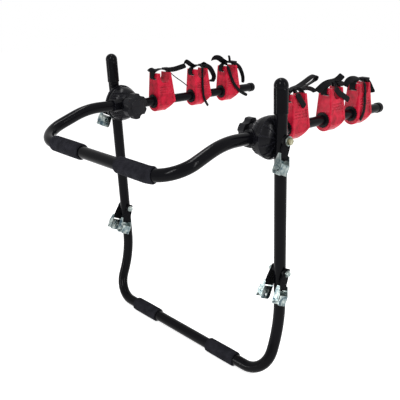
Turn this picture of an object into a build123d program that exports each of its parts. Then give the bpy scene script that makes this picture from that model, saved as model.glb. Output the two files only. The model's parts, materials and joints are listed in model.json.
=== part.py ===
from build123d import *
import math
import os

# Trunk mounted bike rack, sizes in millimetres.
# The origin is the middle of the hub axis. +X runs along that axis to the right-hand hub,
# +Y points away from the car, along the carrying arms, and +Z points up.

os.makedirs("parts", exist_ok=True)

# Fits shared by all pieces
FIT = 0.05
RUNNING = 0.08
BODY_GAP = 0.3
OVERRUN = 5.0

# Lower frame: one bent tube that makes both legs and the bottom bar
TUBE_R = 12.7
TUBE_WALL = 1.6
LEG_X = 265.5
LEG_TILT = 3.3
LEG_TOP = 104.5
LEG_RUN = 421.0
LEG_BEND_R = 260.0
LEG_FOOT_Y = -19.3
LEG_FOOT_Z = -529.0
FOOT_CORNER_R = 59.0

# Leg caps: soft vinyl sleeves with a domed end
CAP_WALL = 1.4
CAP_BELOW = 54.0
CAP_RIM_STEP = 0.2
CAP_RIM_H = 3.0

# Foam sleeves
FOAM_R = 17.2
FOOT_PAD_L = 86.0
FOOT_PADS_X = (-137.0, 135.5)
BAR_PAD_L = 100.0
BAR_PADS_X = (-99.0, 126.0)
PAD_EDGE = 2.5

# Upper frame: the U-shaped tube that rests on the trunk lid
UPPER_X = 221.5
UPPER_END_Y = 14.0
UPPER_KNEE_Y = -114.7
UPPER_KNEE_Z = 3.9
UPPER_BAR_Y = -245.7
UPPER_BAR_Z = -41.1
UPPER_KNEE_R = 200.0
UPPER_CORNER_R = 66.0

# Hub discs fixed to the legs
DISC_R = 44.0
DISC_X = 241.0
DISC_RIM_T = 5.5
DISC_BULGE_R = 38.5
DISC_BULGE_X = 253.5
DISC_BOSS_R = 21.0
DISC_BOSS_X = 262.0
DISC_RIBS = 12
RIB_T = 2.0
RIB_RISE = 1.4

# Upper frame hub housings
HOUSING_R = 42.0
HOUSING_FLANGE_T = 8.0
HOUSING_IN_X = 206.8
HOUSING_BULGE_R = 35.0
HOUSING_BULGE_X = 217.0
HOUSING_BOSS_R = 21.0
HOUSING_SLEEVE_R = 17.0
HOUSING_SLEEVE_L = 44.0
HOUSING_FINS = 3
HOUSING_FIN_PITCH = 5.5

# Carrying arms and the hub housings that hold them
ARM_X = 209.0
ARM_R = 11.1
ARM_WALL = 1.5
ARM_DROP = 1.0
ARM_END = 436.0
ARM_SHOULDER = 43.0
ARM_START = 46.5
ARM_PLUG_END = 72.0
ARM_HUB_T = 10.0
ARM_HUB_R = 24.0
ARM_NECK_H = 20.0
ARM_CAP_R = 12.6
ARM_CAP_L = 15.0
ARM_CAP_EDGE = 5.0
ARM_CAP_STEM = 12.0

# Hub bolts, washers and star knobs
BOLT_R = 4.0
HEAD_AF = 13.0
HEAD_H = 5.3
WASHER_R = 9.5
WASHER_T = 1.6
SPACER_T = 2.6
KNOB_R = 31.0
KNOB_LOBES = 6
KNOB_SCALLOP_R = 10.0
KNOB_T = 17.0
KNOB_DOME_R = 19.0
KNOB_DOME_H = 2.5
KNOB_SKIN = 3.5
KNOB_EDGE = 2.5
INSERT_AF = 13.0
INSERT_T = 6.5

# Webbing tabs, cam buckles and their bolts
STRAP_BOLT_DROP = 286.0
STRAP_BOLT_R = 3.0
STRAP_NUT_AF = 10.0
STRAP_NUT_H = 4.6
STRAP_WASHER_R = 7.0
STRAP_SWING = 25.0
WEB_W = 25.0
WEB_T = 3.4
WEB_LAYER = 1.5
WEB_ABOVE = 11.0
WEB_TOP_W = 14.0
WEB_TAPER_Z = 18.0
BUCKLE_W = 31.0
BUCKLE_SHEET = 1.6
BUCKLE_BACK = 3.0
BUCKLE_H = 11.0
BUCKLE_TIP = 27.0
BUCKLE_BASE_TOP = 39.0
BUCKLE_END = 67.0
BUCKLE_CORNER_R = 6.0
KEYHOLE_R = 4.5
KEYHOLE_W = 4.2
BAR_DROP = 32.5
BAR_R = 2.4
CAM_DROP = 51.0
CAM_OUT = 5.5
CAM_PIN_R = 1.9
CAM_R = 5.6
CAM_TEETH = 5
LEVER_T = 1.8
LEVER_BEND = 61.0
LEVER_END = 66.0
LEVER_W = 26.0
LEVER_BORE = 0.06

# Cradles that hold the bicycles, with their splined bushes
CRADLE_Y = {"left": (105.0, 234.0, 348.0), "right": (112.0, 243.0, 353.0)}
CRADLE_L = 57.0
CRADLE_HALF_W = 21.0
CRADLE_TOP_HALF_W = 16.0
CRADLE_TOP = 70.0
CRADLE_BELLY = 26.0
CRADLE_LEAN = 12.0
CRADLE_WIDE_Z = -2.0
CRADLE_CHIN_Y = 4.0
CRADLE_CHIN_Z = -20.0
CRADLE_FILLET = 2.4
SADDLE_R = 15.0
SADDLE_Y = -3.5
SADDLE_Z = 60.0
SLOT_W = 22.0
SLOT_H = 4.4
SLOT_Z = 56.0
NOTCH_W = 4.0
NOTCH_H = 5.0
NOTCH_Y = -1.0
POCKET_DEPTH = 1.4
POCKET_EDGE = 5.0
POCKET_TOP = 38.0
RIB_COUNT = 3
RIB_PITCH = 6.0
RIB_W = 2.2
BUSH_R = 14.4
BUSH_FLANGE_R = 17.4
BUSH_FLANGE_T = 2.6
BUSH_TEETH = 20
BUSH_TOOTH_W = 2.4
BUSH_TOOTH_D = 1.5

# Cradle straps
BAND_W = 16.0
BAND_T = 2.0
TAIL_W = 9.0
LOCK_L = 20.0
LOCK_H = 7.0
LOCK_W = 21.0

leg_tilt = Location((0, 0, 0), (LEG_TILT, 0, 0))
arm_tilt = Location((0, 0, 0), (-ARM_DROP, 0, 0))


def save(part, name):
    """Name a finished piece and write its file."""
    part.label = name
    export_step(part, "parts/" + name + ".step")
    print(name, round(sum(solid.volume for solid in part.solids()), 1))


def both_sides(*parts):
    """Right-hand pieces and their mirror images, as one group."""
    return Compound(children=[*parts, *[mirror(part, about=Plane.YZ) for part in parts]])


def bent_tube(points, radii, outer_r, wall):
    """A hollow tube along straight runs joined by tangent arcs."""
    with BuildPart() as tube:
        with BuildLine() as route:
            FilletPolyline(*points, radius=radii)
        with BuildSketch(Plane(origin=route.line @ 0, z_dir=route.line % 0)):
            Circle(outer_r)
            Circle(outer_r - wall, mode=Mode.SUBTRACT)
        sweep()
    return tube.part


# Lower frame
leg_down = Vector(0, math.sin(math.radians(LEG_TILT)), -math.cos(math.radians(LEG_TILT)))
right_top = Vector(LEG_X, 0, 0) - leg_down * LEG_TOP
right_knee = Vector(LEG_X, 0, 0) + leg_down * LEG_RUN
right_foot = Vector(LEG_X, LEG_FOOT_Y, LEG_FOOT_Z)
right_leg = [right_top, right_knee, right_foot]
left_leg = [Vector(-p.X, p.Y, p.Z) for p in reversed(right_leg)]
strap_bolt = Vector(LEG_X, 0, 0) + leg_down * STRAP_BOLT_DROP
raw_lower = bent_tube(
    right_leg + left_leg,
    [LEG_BEND_R, FOOT_CORNER_R, FOOT_CORNER_R, LEG_BEND_R],
    TUBE_R,
    TUBE_WALL,
)
with BuildPart() as lower_frame:
    add(raw_lower)
    with Locations(Plane.YZ):
        Cylinder(BOLT_R + FIT, 2 * (LEG_X + TUBE_R + OVERRUN), mode=Mode.SUBTRACT)
    with Locations(Plane(origin=(0, strap_bolt.Y, strap_bolt.Z), z_dir=(1, 0, 0))):
        Cylinder(STRAP_BOLT_R + FIT, 2 * (LEG_X + TUBE_R + OVERRUN), mode=Mode.SUBTRACT)
save(lower_frame.part, "lower_frame")

# Leg caps
cap_r = TUBE_R + CAP_WALL
cap_low = LEG_TOP - CAP_BELOW
with BuildPart() as leg_cap:
    with BuildSketch(Plane.XZ):
        with BuildLine():
            Polyline(
                (0, LEG_TOP + FIT),
                (TUBE_R + FIT, LEG_TOP + FIT),
                (TUBE_R + FIT, cap_low),
                (cap_r + CAP_RIM_STEP, cap_low),
                (cap_r + CAP_RIM_STEP, cap_low + CAP_RIM_H),
                (cap_r, cap_low + CAP_RIM_H + CAP_RIM_STEP),
                (cap_r, LEG_TOP),
            )
            CenterArc((0, LEG_TOP), cap_r, 0, 90)
            Line((0, LEG_TOP + cap_r), (0, LEG_TOP + FIT))
        make_face()
    revolve(axis=Axis.Z)
right_cap = leg_tilt * Location((LEG_X, 0, 0)) * leg_cap.part
save(both_sides(right_cap), "leg_caps")


def foam_sleeve(middle, length, straight_end, corner_r):
    """A foam sleeve along x. A sleeve that reaches past the straight run follows the corner."""
    start = middle - length / 2
    run_end = min(start + length, straight_end)
    over = start + length - straight_end
    with BuildPart() as sleeve:
        with BuildLine() as route:
            Line((start, 0), (run_end, 0))
            if over > 0:
                turn = math.degrees(over / corner_r)
                JernArc(start=(run_end, 0), tangent=(1, 0), radius=corner_r, arc_size=turn)
        with BuildSketch(Plane(origin=route.line @ 0, z_dir=route.line % 0)):
            Circle(FOAM_R)
            Circle(TUBE_R + FIT, mode=Mode.SUBTRACT)
        sweep()
        rims = [edge for edge in sleeve.faces().filter_by(GeomType.PLANE).edges() if edge.radius > TUBE_R + 2 * FIT]
        fillet(rims, PAD_EDGE)
    return sleeve.part


foot_straight = LEG_X - FOOT_CORNER_R
to_foot_bar = Location((0, LEG_FOOT_Y, LEG_FOOT_Z))
foot_pads = [to_foot_bar * foam_sleeve(x, FOOT_PAD_L, foot_straight, FOOT_CORNER_R) for x in FOOT_PADS_X]
save(Compound(children=foot_pads), "lower_pads")

# Hub discs: a domed dish with a round rim, low ribs and a seat that hugs the leg
disc_rim_x = DISC_X + DISC_RIM_T
with BuildSketch(Plane.XY) as rib_face:
    with BuildLine():
        ThreePointArc(
            (disc_rim_x, DISC_R),
            (DISC_BULGE_X + RIB_RISE, DISC_BULGE_R),
            (DISC_BOSS_X, DISC_BOSS_R),
        )
        Polyline(
            (DISC_BOSS_X, DISC_BOSS_R),
            (DISC_BOSS_X, DISC_BOSS_R / 2),
            (disc_rim_x, DISC_BOSS_R / 2),
            (disc_rim_x, DISC_R),
        )
    make_face()
one_rib = extrude(rib_face.sketch, RIB_T / 2, both=True)
with BuildPart() as hub_disc:
    with BuildSketch(Plane.XY):
        with BuildLine():
            Polyline((DISC_X, 0), (DISC_X, DISC_R), (disc_rim_x, DISC_R), (disc_rim_x, DISC_R - RIB_RISE))
            ThreePointArc(
                (disc_rim_x, DISC_R - RIB_RISE),
                (DISC_BULGE_X, DISC_BULGE_R - RIB_RISE),
                (DISC_BOSS_X - RIB_RISE, DISC_BOSS_R),
            )
            Polyline((DISC_BOSS_X - RIB_RISE, DISC_BOSS_R), (DISC_BOSS_X, 0), (DISC_X, 0))
        make_face()
    revolve(axis=Axis.X)
    for turn in range(DISC_RIBS):
        add(one_rib.rotate(Axis.X, 360 / DISC_RIBS * (turn + 1 / 2)))
    with Locations(Plane.YZ.offset(DISC_X)):
        Cylinder(BOLT_R + FIT, 2 * DISC_R, mode=Mode.SUBTRACT)
    with Locations(Plane(origin=(LEG_X, 0, 0), z_dir=leg_down)):
        Cylinder(TUBE_R + FIT, 4 * DISC_R, mode=Mode.SUBTRACT)
    split(bisect_by=Plane(origin=(LEG_X, 0, 0), z_dir=(1, 0, 0)), keep=Keep.BOTTOM)
save(both_sides(hub_disc.part), "hub_discs")

# Upper frame
upper_knee = Vector(UPPER_X, UPPER_KNEE_Y, UPPER_KNEE_Z)
upper_dir = upper_knee - Vector(UPPER_X, 0, 0)
upper_start = Vector(UPPER_X, 0, 0) - upper_dir.normalized() * UPPER_END_Y
upper_corner = Vector(UPPER_X, UPPER_BAR_Y, UPPER_BAR_Z)
right_upper = [upper_start, upper_knee, upper_corner]
left_upper = [Vector(-p.X, p.Y, p.Z) for p in reversed(right_upper)]
raw_upper = bent_tube(
    right_upper + left_upper,
    [UPPER_KNEE_R, UPPER_CORNER_R, UPPER_CORNER_R, UPPER_KNEE_R],
    TUBE_R,
    TUBE_WALL,
)
with BuildPart() as upper_frame:
    add(raw_upper)
    with Locations(Plane.YZ):
        Cylinder(BOLT_R + RUNNING, 2 * (LEG_X + TUBE_R), mode=Mode.SUBTRACT)
save(upper_frame.part, "upper_frame")

side_dir = upper_knee - upper_corner
bar_plane = Plane(origin=(0, UPPER_BAR_Y, UPPER_BAR_Z), x_dir=(1, 0, 0), z_dir=Vector(1, 0, 0).cross(side_dir))
bar_straight = UPPER_X - UPPER_CORNER_R
bar_pads = [bar_plane.location * foam_sleeve(x, BAR_PAD_L, bar_straight, UPPER_CORNER_R) for x in BAR_PADS_X]
save(Compound(children=bar_pads), "upper_pads")

# Upper frame hub housings: a dome with a round flange, a sleeve for the tube and fins beside it
housing_out_x = DISC_X - BODY_GAP
flange_x = housing_out_x - HOUSING_FLANGE_T


def housing_dome(rise):
    """The housing's dome, raised by an amount above its plain face."""
    with BuildPart() as dome:
        with BuildSketch(Plane.XY):
            with BuildLine():
                Line((HOUSING_IN_X, 0), (HOUSING_IN_X, HOUSING_BOSS_R))
                ThreePointArc(
                    (HOUSING_IN_X, HOUSING_BOSS_R),
                    (HOUSING_BULGE_X, HOUSING_BULGE_R + rise),
                    (flange_x, HOUSING_R - RIB_RISE + rise),
                )
                Polyline((flange_x, HOUSING_R - RIB_RISE + rise), (flange_x, 0), (HOUSING_IN_X, 0))
            make_face()
        revolve(axis=Axis.X)
    return dome.part


fin_rows = [HOUSING_SLEEVE_R + HOUSING_FIN_PITCH * (row + 1 / 2) for row in range(HOUSING_FINS)]
with BuildPart() as housing_fins:
    add(housing_dome(RIB_RISE))
    with BuildSketch(Plane.YZ.offset(HOUSING_IN_X)):
        for rise in fin_rows:
            with Locations((-HOUSING_R / 2, rise), (-HOUSING_R / 2, -rise)):
                Rectangle(HOUSING_R, RIB_T)
    extrude(amount=flange_x - HOUSING_IN_X, mode=Mode.INTERSECT)
with BuildPart() as upper_hub:
    add(housing_dome(0))
    with BuildSketch(Plane.YZ.offset(flange_x)):
        Circle(HOUSING_R)
    extrude(amount=HOUSING_FLANGE_T)
    add(housing_fins.part)
    sleeve_plane = Plane(origin=upper_start, z_dir=upper_dir)
    with BuildSketch(sleeve_plane):
        Circle(HOUSING_SLEEVE_R)
    extrude(amount=HOUSING_SLEEVE_L + UPPER_END_Y)
    split(bisect_by=Plane(origin=(HOUSING_IN_X, 0, 0), z_dir=(1, 0, 0)), keep=Keep.TOP)
    with BuildSketch(sleeve_plane.offset(-FIT)):
        Circle(TUBE_R + FIT)
    extrude(amount=HOUSING_SLEEVE_L + UPPER_END_Y + OVERRUN, mode=Mode.SUBTRACT)
    with Locations(Plane.YZ.offset(UPPER_X)):
        Cylinder(BOLT_R + RUNNING, 2 * DISC_R, mode=Mode.SUBTRACT)
save(upper_hub.part, "upper_hub_right")
save(mirror(upper_hub.part, about=Plane.YZ), "upper_hub_left")

# Arm hub housings: a disc on the bolt, a round-ended neck, a shoulder and a plug for the tube
arm_hub_out_x = HOUSING_IN_X - BODY_GAP
arm_hub_in_x = arm_hub_out_x - ARM_HUB_T
neck_l = ARM_START - ARM_NECK_H / 2
with BuildPart() as arm_hub:
    with BuildSketch(Plane.YZ.offset(arm_hub_in_x)):
        Circle(ARM_HUB_R)
        with Locations((neck_l / 2, 0)):
            Rectangle(neck_l, ARM_NECK_H)
        with Locations((neck_l, 0)):
            Circle(ARM_NECK_H / 2)
    extrude(amount=ARM_HUB_T)
    with BuildSketch(Plane(origin=(ARM_X, ARM_SHOULDER, 0), z_dir=(0, 1, 0))):
        Circle(ARM_R)
    extrude(amount=ARM_START - ARM_SHOULDER)
    with BuildSketch(Plane(origin=(ARM_X, ARM_SHOULDER, 0), z_dir=(0, 1, 0))):
        Circle(ARM_R - ARM_WALL - FIT)
    extrude(amount=ARM_PLUG_END - ARM_SHOULDER)
    with Locations(Plane.YZ.offset(arm_hub_in_x)):
        Cylinder(BOLT_R + RUNNING, 2 * DISC_R, mode=Mode.SUBTRACT)
right_arm_hub = arm_tilt * arm_hub.part
save(right_arm_hub, "arm_hub_right")
save(mirror(right_arm_hub, about=Plane.YZ), "arm_hub_left")

# Carrying arms
with BuildPart() as arm:
    with BuildSketch(Plane(origin=(ARM_X, ARM_START + FIT, 0), z_dir=(0, 1, 0))):
        Circle(ARM_R)
        Circle(ARM_R - ARM_WALL, mode=Mode.SUBTRACT)
    extrude(amount=ARM_END - ARM_START - FIT)
right_arm = arm_tilt * arm.part
save(right_arm, "arm_right")
save(mirror(right_arm, about=Plane.YZ), "arm_left")

# Arm end caps: a domed head on a stem that plugs the tube
with BuildPart() as arm_cap:
    with BuildSketch(Plane(origin=(ARM_X, ARM_END + FIT, 0), z_dir=(0, 1, 0))):
        Circle(ARM_CAP_R)
    extrude(amount=ARM_CAP_L)
    fillet(arm_cap.edges().group_by(Axis.Y)[-1], ARM_CAP_EDGE)
    with BuildSketch(Plane(origin=(ARM_X, ARM_END - ARM_CAP_STEM, 0), z_dir=(0, 1, 0))):
        Circle(ARM_R - ARM_WALL - FIT)
    extrude(amount=ARM_CAP_STEM + 2 * FIT)
right_arm_cap = arm_tilt * arm_cap.part
save(right_arm_cap, "arm_cap_right")
save(mirror(right_arm_cap, about=Plane.YZ), "arm_cap_left")

# Hub stack outside the leg: spacer, webbing tab, washer and bolt head
spacer_x = LEG_X + TUBE_R + FIT
web_gap = WEB_T + 2 * BODY_GAP
outer_washer_x = spacer_x + SPACER_T + web_gap
head_x = outer_washer_x + WASHER_T + FIT
web_x = spacer_x + SPACER_T + web_gap / 2
inner_washer_x = arm_hub_in_x - BODY_GAP - WASHER_T
knob_x = inner_washer_x - BODY_GAP - KNOB_T
bolt_end_x = knob_x + KNOB_SKIN + BODY_GAP


def plate_ring(x, thickness, outer_r, inner_r):
    """A flat ring on the hub axis, from x outwards."""
    with BuildPart() as ring:
        with BuildSketch(Plane.YZ.offset(x)):
            Circle(outer_r)
            Circle(inner_r, mode=Mode.SUBTRACT)
        extrude(amount=thickness)
    return ring.part


def saddle_spacer(x, thickness, outer_r, inner_r, tilt):
    """A spacer between the round leg and a flat webbing tab."""
    with BuildPart() as spacer:
        with BuildSketch(Plane.YZ.offset(x - TUBE_R / 2)):
            Circle(outer_r)
            Circle(inner_r, mode=Mode.SUBTRACT)
        extrude(amount=thickness + TUBE_R / 2)
        with Locations(Plane(origin=(LEG_X, 0, 0), z_dir=tilt)):
            Cylinder(TUBE_R + FIT, 4 * outer_r, mode=Mode.SUBTRACT)
    return spacer.part


hub_spacer = saddle_spacer(spacer_x, SPACER_T, WASHER_R, BOLT_R + FIT, leg_down)
outer_washer = plate_ring(outer_washer_x, WASHER_T, WASHER_R, BOLT_R + FIT)
inner_washer = plate_ring(inner_washer_x, WASHER_T, WASHER_R, BOLT_R + FIT)

with BuildPart() as hub_bolt:
    with BuildSketch(Plane.YZ.offset(head_x)):
        RegularPolygon(HEAD_AF / 2, 6, major_radius=False)
    extrude(amount=HEAD_H)
    chamfer(hub_bolt.faces().sort_by(Axis.X)[-1].edges(), HEAD_H / 8)
    with BuildSketch(Plane.YZ.offset(bolt_end_x)):
        Circle(BOLT_R)
    extrude(amount=head_x - bolt_end_x + FIT)
save(both_sides(hub_bolt.part), "hub_bolts")

# Star knobs: a thick fluted grip with a closed, slightly raised face and a steel nut moulded in
with BuildPart() as knob:
    with BuildSketch(Plane.YZ.offset(knob_x)):
        Circle(KNOB_R)
        with PolarLocations(KNOB_R + KNOB_SCALLOP_R / 2, KNOB_LOBES):
            Circle(KNOB_SCALLOP_R, mode=Mode.SUBTRACT)
    extrude(amount=KNOB_T)
    fillet(knob.edges().filter_by(Axis.X), KNOB_EDGE)
    fillet(knob.faces().sort_by(Axis.X)[0].edges(), KNOB_EDGE * 4 / 5)
    with BuildSketch(Plane.YZ.offset(knob_x)):
        Circle(KNOB_DOME_R)
    extrude(amount=-KNOB_DOME_H, taper=30)
    fillet(knob.faces().sort_by(Axis.X)[0].edges(), KNOB_DOME_H * 3 / 5)
    with BuildSketch(Plane.YZ.offset(knob_x + KNOB_T - INSERT_T - FIT)):
        RegularPolygon(INSERT_AF / 2 + FIT, 6, major_radius=False)
    extrude(amount=INSERT_T + FIT, mode=Mode.SUBTRACT)
    with BuildSketch(Plane.YZ.offset(knob_x + KNOB_SKIN)):
        Circle(BOLT_R + RUNNING)
    extrude(amount=KNOB_T, mode=Mode.SUBTRACT)
with BuildPart() as knob_nut:
    with BuildSketch(Plane.YZ.offset(knob_x + KNOB_T - INSERT_T)):
        RegularPolygon(INSERT_AF / 2, 6, major_radius=False)
        Circle(BOLT_R + RUNNING, mode=Mode.SUBTRACT)
    extrude(amount=INSERT_T)
save(knob.part, "knob_right")
save(mirror(knob.part, about=Plane.YZ), "knob_left")
save(knob_nut.part, "knob_nut_right")
save(mirror(knob_nut.part, about=Plane.YZ), "knob_nut_left")

# Bolts that hold the two webbing tabs on each leg, built at the hub and moved down the leg
to_strap_bolt = Location((0, strap_bolt.Y, strap_bolt.Z))
strap_spacer = saddle_spacer(spacer_x, SPACER_T, STRAP_WASHER_R, STRAP_BOLT_R + FIT, leg_down)
strap_washer = plate_ring(outer_washer_x, WASHER_T, STRAP_WASHER_R, STRAP_BOLT_R + FIT)
leg_mid = Plane(origin=(LEG_X, 0, 0), z_dir=(1, 0, 0))
strap_spacers = [to_strap_bolt * ring for ring in (strap_spacer, mirror(strap_spacer, about=leg_mid))]
strap_washers = [to_strap_bolt * ring for ring in (strap_washer, mirror(strap_washer, about=leg_mid))]
save(both_sides(hub_spacer, *strap_spacers), "spacers")
save(both_sides(outer_washer, inner_washer, *strap_washers), "washers")

nut_x = 2 * LEG_X - head_x - STRAP_NUT_H
with BuildPart() as leg_bolt:
    with BuildSketch(Plane.YZ.offset(head_x)):
        RegularPolygon(STRAP_NUT_AF / 2, 6, major_radius=False)
    extrude(amount=STRAP_NUT_H)
    chamfer(leg_bolt.faces().sort_by(Axis.X)[-1].edges(), STRAP_NUT_H / 8)
    with BuildSketch(Plane.YZ.offset(nut_x - BODY_GAP)):
        Circle(STRAP_BOLT_R)
    extrude(amount=head_x - nut_x + BODY_GAP + FIT)
save(both_sides(to_strap_bolt * leg_bolt.part), "strap_bolts")
with BuildPart() as leg_nut:
    with BuildSketch(Plane.YZ.offset(nut_x)):
        RegularPolygon(STRAP_NUT_AF / 2, 6, major_radius=False)
        Circle(STRAP_BOLT_R + FIT, mode=Mode.SUBTRACT)
    extrude(amount=STRAP_NUT_H)
save(both_sides(to_strap_bolt * leg_nut.part), "strap_nuts")


def webbing_tab(bolt_r):
    """A doubled webbing tab: it hangs from a bolt at the origin and loops round the buckle's bar."""
    loop_r = BAR_R + BODY_GAP + WEB_LAYER
    with BuildPart() as tab:
        with BuildSketch(Plane.XZ):
            with Locations((0, (WEB_ABOVE - BAR_DROP + loop_r) / 2)):
                Rectangle(WEB_T, WEB_ABOVE + BAR_DROP - loop_r)
            with Locations((0, -BAR_DROP)):
                Circle(loop_r)
            with BuildLine():
                Polyline(
                    (-WEB_T / 2, -BAR_DROP + 2 * loop_r),
                    (WEB_T / 2, -BAR_DROP + 2 * loop_r),
                    (loop_r, -BAR_DROP),
                    (-loop_r, -BAR_DROP),
                    close=True,
                )
            make_face()
            with Locations((0, -BAR_DROP)):
                Circle(BAR_R + BODY_GAP, mode=Mode.SUBTRACT)
        extrude(amount=WEB_W / 2, both=True)
        with BuildSketch(Plane.YZ):
            with BuildLine():
                Polyline(
                    (-WEB_TOP_W / 2, WEB_ABOVE),
                    (WEB_TOP_W / 2, WEB_ABOVE),
                    (WEB_W / 2, -WEB_TAPER_Z),
                    (WEB_W / 2, -2 * BAR_DROP),
                    (-WEB_W / 2, -2 * BAR_DROP),
                    (-WEB_W / 2, -WEB_TAPER_Z),
                    close=True,
                )
            make_face()
        extrude(amount=2 * loop_r, both=True, mode=Mode.INTERSECT)
        with Locations(Plane.YZ):
            Cylinder(bolt_r + RUNNING, 2 * WEB_T, mode=Mode.SUBTRACT)
        top = tab.edges().filter_by(Axis.X).group_by(Axis.Z)[-1]
        fillet(top, WEB_ABOVE / 3)
    return tab.part


def buckle_frame():
    """A channel of bent sheet with pointed cheeks, the webbing bar and the cam pin."""
    half = BUCKLE_W / 2
    with BuildPart() as channel:
        with BuildSketch(Plane.XZ):
            with BuildLine():
                Polyline(
                    (-BUCKLE_BACK, -BUCKLE_BASE_TOP),
                    (-BUCKLE_BACK + BUCKLE_SHEET, -BUCKLE_TIP),
                    (BAR_R + BUCKLE_SHEET, -BUCKLE_TIP),
                    (BUCKLE_H, -CAM_DROP + CAM_R),
                    (BUCKLE_H, -CAM_DROP - CAM_R),
                    (BUCKLE_SHEET - BUCKLE_BACK, BUCKLE_CORNER_R - BUCKLE_END),
                    (BUCKLE_SHEET - BUCKLE_BACK, -BUCKLE_END),
                    (-BUCKLE_BACK, -BUCKLE_END),
                    close=True,
                )
            make_face()
        extrude(amount=half, both=True)
        with BuildSketch(Plane.XZ):
            with Locations((-BUCKLE_BACK + BUCKLE_SHEET + BUCKLE_END / 2, -BUCKLE_END / 2)):
                Rectangle(BUCKLE_END, 2 * BUCKLE_END)
        extrude(amount=half - BUCKLE_SHEET, both=True, mode=Mode.SUBTRACT)
        with BuildSketch(Plane.YZ.offset(-BUCKLE_BACK - OVERRUN)):
            with Locations((0, -BUCKLE_BASE_TOP / 2)):
                Rectangle(BUCKLE_W - 2 * BUCKLE_SHEET, BUCKLE_BASE_TOP)
            with Locations((0, -CAM_DROP)):
                Circle(KEYHOLE_R)
            with Locations((0, -CAM_DROP - KEYHOLE_R)):
                Rectangle(KEYHOLE_W, 2 * KEYHOLE_R)
        extrude(amount=2 * OVERRUN, mode=Mode.SUBTRACT)
        with BuildSketch(Plane.YZ):
            RectangleRounded(BUCKLE_W, 2 * BUCKLE_END, BUCKLE_CORNER_R)
        extrude(amount=2 * BUCKLE_H, both=True, mode=Mode.INTERSECT)
        with Locations(Plane(origin=(0, 0, -BAR_DROP), z_dir=(0, 1, 0))):
            Cylinder(BAR_R / 2 + FIT, BUCKLE_W + OVERRUN, mode=Mode.SUBTRACT)
        with Locations(Plane(origin=(CAM_OUT, 0, -CAM_DROP), z_dir=(0, 1, 0))):
            Cylinder(CAM_PIN_R + FIT, BUCKLE_W + OVERRUN, mode=Mode.SUBTRACT)
    with BuildPart() as bar:
        with Locations(Plane(origin=(0, 0, -BAR_DROP), z_dir=(0, 1, 0))):
            Cylinder(BAR_R, BUCKLE_W - 2 * BUCKLE_SHEET - 2 * FIT)
            Cylinder(BAR_R / 2, BUCKLE_W + 2 * FIT)
    with BuildPart() as pin:
        with Locations(Plane(origin=(CAM_OUT, 0, -CAM_DROP), z_dir=(0, 1, 0))):
            Cylinder(CAM_PIN_R, BUCKLE_W + 2 * FIT)
        for side in (1, -1):
            head_y = side * (BUCKLE_W / 2 + FIT + BUCKLE_SHEET / 4)
            with Locations(Plane(origin=(CAM_OUT, head_y, -CAM_DROP), z_dir=(0, 1, 0))):
                Cylinder(CAM_PIN_R * 3 / 2, BUCKLE_SHEET / 2)
    return [channel.part, bar.part, pin.part]


def cam_lever():
    """The cam with its teeth, its two ears and the thumb plate."""
    cam_w = BUCKLE_W - 2 * BUCKLE_SHEET - 2 * BODY_GAP
    with BuildPart() as lever:
        with BuildSketch(Plane.XZ):
            with Locations((CAM_OUT, -CAM_DROP)):
                Circle(CAM_R)
                with PolarLocations(CAM_R, CAM_TEETH, start_angle=180, angular_range=90):
                    Circle(CAM_R / 6, mode=Mode.SUBTRACT)
            with BuildLine():
                Polyline(
                    (CAM_OUT, -CAM_DROP + CAM_R),
                    (BUCKLE_H + LEVER_T, -CAM_DROP + CAM_R),
                    (BUCKLE_H + LEVER_T, -CAM_DROP - CAM_R),
                    (BUCKLE_H, -CAM_DROP - CAM_R),
                    (BUCKLE_H, -CAM_DROP),
                    (CAM_OUT, -CAM_DROP),
                    close=True,
                )
            make_face()
        extrude(amount=cam_w / 2, both=True)
        with BuildSketch(Plane.XZ):
            with BuildLine():
                Polyline(
                    (BUCKLE_H, -CAM_DROP),
                    (BUCKLE_H + LEVER_T, -CAM_DROP),
                    (BUCKLE_H + LEVER_T, -LEVER_BEND),
                    (BUCKLE_H + 2 * LEVER_T, -LEVER_END),
                    (BUCKLE_H + LEVER_T, -LEVER_END),
                    (BUCKLE_H, -LEVER_BEND),
                    close=True,
                )
            make_face()
        extrude(amount=LEVER_W / 2, both=True)
        with BuildSketch(Plane.YZ):
            RectangleRounded(BUCKLE_W, 2 * LEVER_END, BUCKLE_CORNER_R)
        extrude(amount=2 * BUCKLE_H, both=True, mode=Mode.INTERSECT)
        with Locations(Plane(origin=(CAM_OUT, 0, -CAM_DROP), z_dir=(0, 1, 0))):
            Cylinder(CAM_PIN_R + LEVER_BORE, BUCKLE_W, mode=Mode.SUBTRACT)
    return lever.part


# The six webbing tabs: where each bolt is, which way its buckle opens and its bolt size
tabs = {
    "upper": (web_x, Vector(0, 0, 0), 1, BOLT_R),
    "outer": (web_x, strap_bolt, 1, STRAP_BOLT_R),
    "inner": (2 * LEG_X - web_x, strap_bolt, -1, STRAP_BOLT_R),
}
for place, (x, bolt, outward, bolt_r) in tabs.items():
    hang = Location((x, bolt.Y, bolt.Z), (-STRAP_SWING, 0, 0))
    pieces = {"webbing": [webbing_tab(bolt_r)], "buckle": buckle_frame(), "cam_lever": [cam_lever()]}
    for kind, solids in pieces.items():
        turned = solids if outward > 0 else [mirror(solid, about=Plane.YZ) for solid in solids]
        right_side = [hang * solid for solid in turned]
        left_side = [mirror(solid, about=Plane.YZ) for solid in right_side]
        save(Compound(children=right_side), kind + "_" + place + "_right")
        save(Compound(children=left_side), kind + "_" + place + "_left")

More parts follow.
